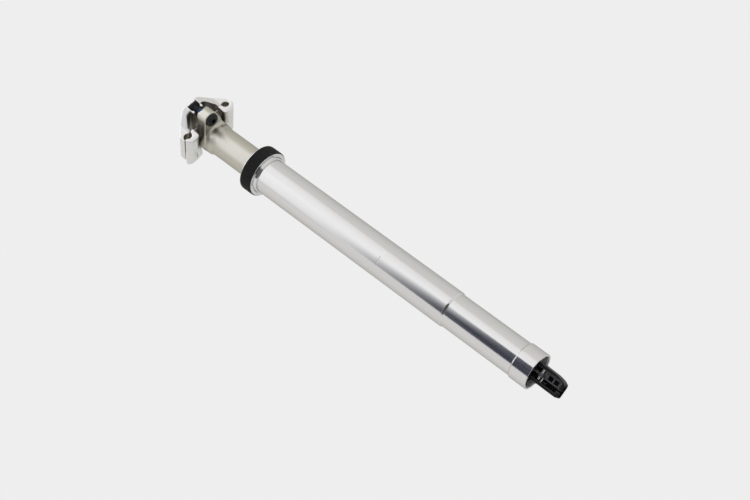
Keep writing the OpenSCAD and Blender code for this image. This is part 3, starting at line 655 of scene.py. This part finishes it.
def knurled_band():
    """A bmesh of pyramids on a cylinder, in rows that fit into each other."""
    shape = bmesh.new()
    half = math.pi / KNURL_ROUND
    row = (KNURL_HIGH - KNURL_LOW) / KNURL_ROWS

    def corner(turn, z):
        return (KNURL_R * MM * math.cos(turn), KNURL_R * MM * math.sin(turn), z * MM)

    for k in range(-1, KNURL_ROWS):
        z = KNURL_LOW + k * row
        low, high = max(z, KNURL_LOW), min(z + 2 * row, KNURL_HIGH)
        turn = half * (k % 2)
        left, right = turn - half, turn + half
        outline = [corner(left, z + row), corner(turn, low), corner(right, z + row),
                   corner(turn, high)]
        if z < KNURL_LOW:
            outline = [corner(left, KNURL_LOW), corner(right, KNURL_LOW), corner(turn, high)]
        if z + 2 * row > KNURL_HIGH + 1e-9:
            outline = [corner(turn, low), corner(right, KNURL_HIGH), corner(left, KNURL_HIGH)]
        face = shape.faces.new([shape.verts.new(c) for c in outline])
        bmesh.ops.spin(
            shape, geom=[face], cent=(0, 0, 0), axis=(0, 0, 1), use_duplicate=True,
            angle=math.tau * (KNURL_ROUND - 1) / KNURL_ROUND, steps=KNURL_ROUND - 1,
        )
    bmesh.ops.remove_doubles(shape, verts=shape.verts, dist=2e-6)
    bmesh.ops.recalc_face_normals(shape, faces=shape.faces)
    diamonds = [f for f in shape.faces if len(f.verts) == 4]
    bmesh.ops.poke(shape, faces=diamonds, offset=KNURL_DEPTH * MM)
    return shape


# %% Turn the collar's rims
collar = turned([
    (KNURL_R, KNURL_LOW, 0), (21.0, 3.5, 0.1), (20.5, 2.7, 0.1), (20.32, 2.7, 0), (20.32, 3.3, 0),
    (18.6, 3.3, 0), (18.6, 11.5, 0), (14.8, 11.5, 0), (14.8, 14.7, 0.2), (20.3, 14.7, 0.1),
    (20.3, 14.15, 0), (21.0, 14.15, 0.1), (KNURL_R, KNURL_HIGH, 0),
], 2 * KNURL_ROUND, closed=False)
band_mesh = bpy.data.meshes.new("band")
band = knurled_band()
band.to_mesh(band_mesh)
band.free()
collar.from_mesh(band_mesh)
bpy.data.meshes.remove(band_mesh)
ring = piece(
    "knurled_collar", settle(collar, "knurled_collar", 20.0), "black_anodised", "lower_post",
    "seal_collar",
)
ring.data.materials[0] = finishes["black_knurl"]
bare_ring = turned(
    [(20.28, 14.15, 0), (20.7, 14.15, 0), (20.7, 14.7, 0.2), (20.28, 14.7, 0)], 2 * KNURL_ROUND
)
piece("collar_bare_ring", settle(bare_ring, "collar_bare_ring"), "polished_aluminium", "lower_post")

# %% [markdown]
# ## The stanchion
# The sliding tube and its head are one forging. The straight tube is turned, and it reaches a
# little way into the head's mesh so that no gap shows between the two.

# %% Turn the stanchion
TUBE_R = 13.0
SEAM = 52.0
OVERLAP = 3.0
stanchion = turned([
    (TUBE_R + 0.01, SEAM, 0), (TUBE_R, SEAM - 4, 0), (TUBE_R, -205.5, 0), (12.4, -205.5, 0),
    (12.4, -213, 0), (TUBE_R, -213, 0), (TUBE_R, -214.4, 0.1), (12.4, -215, 0.1), (10.8, -215, 0),
    (10.8, SEAM - OVERLAP, 0),
], closed=False)
stanchion_tube = piece(
    "stanchion_tube", settle(stanchion, "stanchion_tube"), "champagne_anodised", "upper_post",
    "stanchion",
)
even_normals(stanchion_tube)

# %% [markdown]
# The head's ears melt into the column. A softened copy of the solid gives the whole head, but the
# cubes leave faint waves in its long curves. So the smooth surface below the front ear is written
# down as a distance: a column that swells, an ear with a round tip, and a wide fillet between the
# two. The copy's points are then drawn onto it, except in the pockets for the washers.

# %% Describe the smooth head
FRONT_X, REAR_X = 23.705, -18.68
FLARE_Z, FLARE_H = 55.5, 5.5
SWELL = 0.7
FLATTER_IN_FRONT = 0.85
EAR_R = 7.1
EAR_UNDER = 65.7
EAR_EDGE = 0.7
FILLET = 3.4


def held(value, low=0.0, high=1.0):
    """The value, kept between two limits."""
    return min(max(value, low), high)


def column(x, y, z):
    """The column's radius where the tube swells into it. Under the front ear it swells least."""
    rise = held((z - FLARE_Z) / FLARE_H)
    front = max(x, 0.0) / math.hypot(x, y)
    return TUBE_R + SWELL * (1 - FLATTER_IN_FRONT * front) * (1 - math.cos(math.pi * rise))


def ear_outline(x, y):
    """The distance from the ear's outline in plan: a round tip, tangent to the column."""
    slope = (TUBE_R - EAR_R) / FRONT_X
    flat = math.sqrt(1 - slope * slope)
    along = flat * x - slope * abs(y)
    if along < 0:
        return math.hypot(x, y) - TUBE_R
    if along > flat * FRONT_X:
        return math.hypot(x - FRONT_X, y) - EAR_R
    return flat * abs(y) + slope * x - TUBE_R


def outside_head(x, y, z):
    """How far a point is outside the column and the front ear, with a fillet between the two."""
    post = math.hypot(x, y) - column(x, y, z)
    flank, under = ear_outline(x, y) + EAR_EDGE, EAR_UNDER - z
    ear = min(max(flank, under), 0.0) + math.hypot(max(flank, 0.0), max(under, 0.0)) - EAR_EDGE
    blend = max(FILLET - abs(post - ear), 0.0)
    return min(post, ear) - blend * blend / (4 * FILLET)


def drawn_on(x, y, z, share):
    """The same point moved onto the smooth head by that share of its distance."""
    step = 0.01
    for _ in range(3):
        off = outside_head(x, y, z)
        lean = Vector((
            outside_head(x + step, y, z) - off,
            outside_head(x, y + step, z) - off,
            outside_head(x, y, z + step) - off,
        )) / step
        x, y, z = Vector((x, y, z)) - lean * (off * share / max(lean.length_squared, 0.1))
    return Vector((x, y, z))


# %% Soften the head
HEAD_REACH = 1.5
DRAWN_BELOW, TOP_EASE = 70.0, 2
DRAWN_AHEAD, REAR_EASE = -8, 4
FRONT_CUP_R = 6.4
REAR_CUP_R, REAR_CUP_Z = 6.3, 64.5
BORE_R = 12.2


def in_a_pocket(x, y, z):
    """Whether a point is in the bore or in the cup for one of the washers."""
    rear_cup = Vector((x - REAR_X, y, min(z - REAR_CUP_Z, 0.0))).length
    front_cup = math.hypot(x - FRONT_X, y)
    return front_cup < FRONT_CUP_R or rear_cup < REAR_CUP_R or math.hypot(x, y) < BORE_R


head = softened("stanchion", 0.35, 6, SEAM - OVERLAP)
moved = 0
for point in head.vertices:
    x, y, z = point.co / MM
    share = held((DRAWN_BELOW - z) / TOP_EASE)
    if z > FLARE_Z + FLARE_H:
        share *= held((x - DRAWN_AHEAD) / REAR_EASE)
    if share and not in_a_pocket(x, y, z) and abs(outside_head(x, y, z)) < HEAD_REACH:
        point.co = drawn_on(x, y, z, share) * MM
        moved += 1
head.shade_smooth()
piece("stanchion_head", head, "champagne_anodised", "upper_post", "stanchion")
print("points drawn onto the smooth head", moved)

# %% [markdown]
# ## The saddle clamp
# Both halves of the clamp are forged and then tumbled until they shine, so none of their edges is
# sharp. They are laid level and softened from their solids with a slightly finer cube than the
# head's. Tumbling doesn't reach into the rail bores, so those keep the warmer, duller look of a
# reamed hole.

# %% Soften the clamp
RAIL_TILT = math.radians(13)
halves = [
    piece("cradle_forging", softened("lower_cradle", 0.32, 8, tilt=RAIL_TILT), "forged_silver",
          "saddle_clamp", "lower_cradle"),
    piece("clamp_forging", softened("upper_clamp", 0.34, 8, tilt=RAIL_TILT), "forged_silver",
          "saddle_clamp", "upper_clamp"),
]

# %% Ream the rail bores
RAIL_Y, RAIL_Z = 22.0, 76.6
RAIL_SETBACK = 1
REAMED_R = 3.75
mix({
    "reamed_bore": dict(
        colour=(0.70, 0.66, 0.58), metallic=1.0, roughness=0.34, spread=0.05, grain=1400.0,
        tint=0.06,
    ),
})
for half in halves:
    half.data.materials.append(finishes["reamed_bore"])
    for face in half.data.polygons:
        x, y, z = face.center / MM
        x += RAIL_SETBACK * math.cos(RAIL_TILT)
        rise = (z - RAIL_Z) * math.cos(RAIL_TILT) + x * math.sin(RAIL_TILT)
        if math.hypot(abs(y) - RAIL_Y, rise) < REAMED_R:
            face.material_index = 1
    print(half.name, "reamed faces", sum(face.material_index for face in half.data.polygons))

# %% [markdown]
# The barrel nuts are turned from black steel. They roll in their seats as the saddle tilts, so they
# get a little play.

# %% Soften the barrel nuts
PLAY = 0.13
for end in ("front", "rear"):
    nut = softened(end + "_barrel_nut", 0.16, 5)
    steps_in = [point.normal * PLAY * MM for point in nut.vertices]
    for point, step in zip(nut.vertices, steps_in):
        point.co -= step
    piece(end + "_nut_turned", nut, "black_steel", end + "_nut", end + "_barrel_nut")

# %% [markdown]
# ## The bolts
# Each bolt is turned with a ring of ridges for its thread, because a thread's slope can't be seen
# at this size. Its socket is a hexagon that is bridged to the head's face and pushed in. The head
# sits in a cup washer, and a blue patch on the thread keeps the bolt from shaking loose.

# %% Turn the bolts
FRONT_SEAT, REAR_SEAT = 66.5, 73.89
BOLT_TOP = 23.31
HEAD_H = 4.3
PLAIN_SHANK, BOLT_TIP = 5.0, 1.0
PITCH = 0.8
SOCKET_R, SOCKET_DEPTH = 2.31, 3.3


def clamp_bolt(x, seat):
    """A bmesh of one bolt whose head bears upwards at the height of the seat."""
    low = seat - HEAD_H
    thread = []
    for ridge in range(int((BOLT_TOP - PLAIN_SHANK - BOLT_TIP) / PITCH)):
        z = seat + PLAIN_SHANK + ridge * PITCH
        thread += [(2.5, z, 0), (2.5, z + 0.12, 0), (2.1, z + 0.45, 0), (2.1, z + 0.55, 0)]
    shape = turned(
        [(3.0, low, 0), (4.5, low, 0.5), (4.5, seat, 0.2), (2.5, seat, 0)] + thread
        + [(2.0, seat + BOLT_TOP, 0.2), (0, seat + BOLT_TOP, 0)],
        36, closed=False,
    )
    rim = [e for e in shape.edges if e.is_boundary]
    socket = bmesh.ops.create_circle(shape, segments=6, radius=SOCKET_R * MM)["verts"]
    bmesh.ops.translate(shape, verts=socket, vec=(0, 0, low * MM))
    hexagon = [e for e in shape.edges if e.verts[0] in socket and e.verts[1] in socket]
    bmesh.ops.bridge_loops(shape, edges=rim + hexagon)
    walls = bmesh.ops.extrude_edge_only(shape, edges=hexagon)["geom"]
    deep = [g for g in walls if isinstance(g, bmesh.types.BMVert)]
    bmesh.ops.translate(shape, verts=deep, vec=(0, 0, SOCKET_DEPTH * MM))
    bmesh.ops.contextual_create(shape, geom=deep)
    bmesh.ops.recalc_face_normals(shape, faces=shape.faces)
    bmesh.ops.translate(shape, verts=shape.verts, vec=(x * MM, 0, 0))
    return shape


def joined(shapes, name):
    """Several bmeshes in one finished mesh."""
    whole = bmesh.new()
    for shape in shapes:
        part = settle(shape, name + "_part")
        whole.from_mesh(part)
        bpy.data.meshes.remove(part)
    return settle(whole, name)


bolts = joined([clamp_bolt(FRONT_X, FRONT_SEAT), clamp_bolt(REAR_X, REAR_SEAT)], "bolts")
piece("bolts", bolts, "black_steel", "upper_post", "clamp_bolts")


# %% Turn the cup washers and the blue patches
def ring_at(x, corners, steps=64):
    """A turned ring moved out to a bolt."""
    shape = turned(corners, steps)
    bmesh.ops.translate(shape, verts=shape.verts, vec=(x * MM, 0, 0))
    return shape


washers = joined([
    ring_at(x, [
        (4.65, seat - 3.6, 0.2), (5.8, seat - 3.6, 0.6), (5.8, seat + 0.8, 0.3),
        (2.65, seat + 0.8, 0), (2.65, seat, 0), (4.65, seat, 0),
    ])
    for x, seat in ((FRONT_X, FRONT_SEAT), (REAR_X, REAR_SEAT))
], "washers")
piece("washers", washers, "black_steel", "upper_post", "cup_washers")

patches = joined([
    ring_at(x, [(2.2, low, 0), (2.54, low, 0.1), (2.54, high, 0.1), (2.2, high, 0)], 36)
    for x, low, high in ((FRONT_X, 78.2, 79.6), (REAR_X, 88.0, 89.4))
], "lock_patches")
mix({
    "lock_patch": dict(
        colour=(0.006, 0.075, 0.24), metallic=0.0, roughness=0.5, spread=0.1, grain=1500.0,
        tint=0.35,
    ),
})
patch = bpy.data.objects.new("lock_patches", patches)
bpy.context.scene.collection.objects.link(patch)
patches.materials.append(finishes["lock_patch"])
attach(patch, "upper_post")
print("bolts, washers and patches made")

# %% [markdown]
# ## The actuator
# The black fork at the foot is machined and then anodised, and its edges are broken with a fine
# cut. The softened copy keeps its slots, because the cubes are smaller than any of them. One arm
# tapers towards the tip, so its points are moved inwards more and more on the way down.

# %% Soften the fork
FORK_TURN = math.radians(28)
SIDEWAYS = Vector((math.sin(FORK_TURN), math.cos(FORK_TURN), 0))
TAPER_FROM = 5.5
TAPER_TOP, TAPER_LENGTH = -298, 11.6
TAPER_CURVE = 1.6
TAPER_SHARE = 0.95
fork = softened("actuator_bracket", 0.24, 6)
for point in fork.vertices:
    side = point.co.dot(SIDEWAYS) / MM
    fall = (TAPER_TOP - point.co.z / MM) / TAPER_LENGTH
    if side > TAPER_FROM and fall > 0:
        share = min(fall, 1.0) ** TAPER_CURVE * TAPER_SHARE
        point.co -= SIDEWAYS * (side - TAPER_FROM) * share * MM
piece("actuator_fork", fork, "black_anodised", "lower_post", "actuator_bracket")

# %% [markdown]
# The lever is a grey plate with two windows. Smoothing rounds its edges, which makes the windows
# look small, so their walls are moved apart again.

# %% Open the lever's windows
WINDOW_MIDDLE = 2.15
WINDOW_HALF_WIDE, WINDOW_HALF_HIGH = 1.55, 1.8
WINDOW_HEIGHTS = (-301.87, -296.43)
WINDOW_RIM = 0.8
OPENED = 0.28
lever = softened("release_lever", 0.12, 4)
for point in lever.vertices:
    side, z = point.co.dot(SIDEWAYS) / MM - WINDOW_MIDDLE, point.co.z / MM
    for middle_z in WINDOW_HEIGHTS:
        rise = z - middle_z
        reach = max(abs(side) - WINDOW_HALF_WIDE, abs(rise) - WINDOW_HALF_HIGH)
        share = OPENED * held(1 - reach / WINDOW_RIM) * MM
        point.co += SIDEWAYS * share * held(side / WINDOW_HALF_WIDE, -1.0)
        point.co.z += share * held(rise / WINDOW_HALF_HIGH, -1.0)
piece("lever_plate", lever, "grey_anodised", "lever", "release_lever")
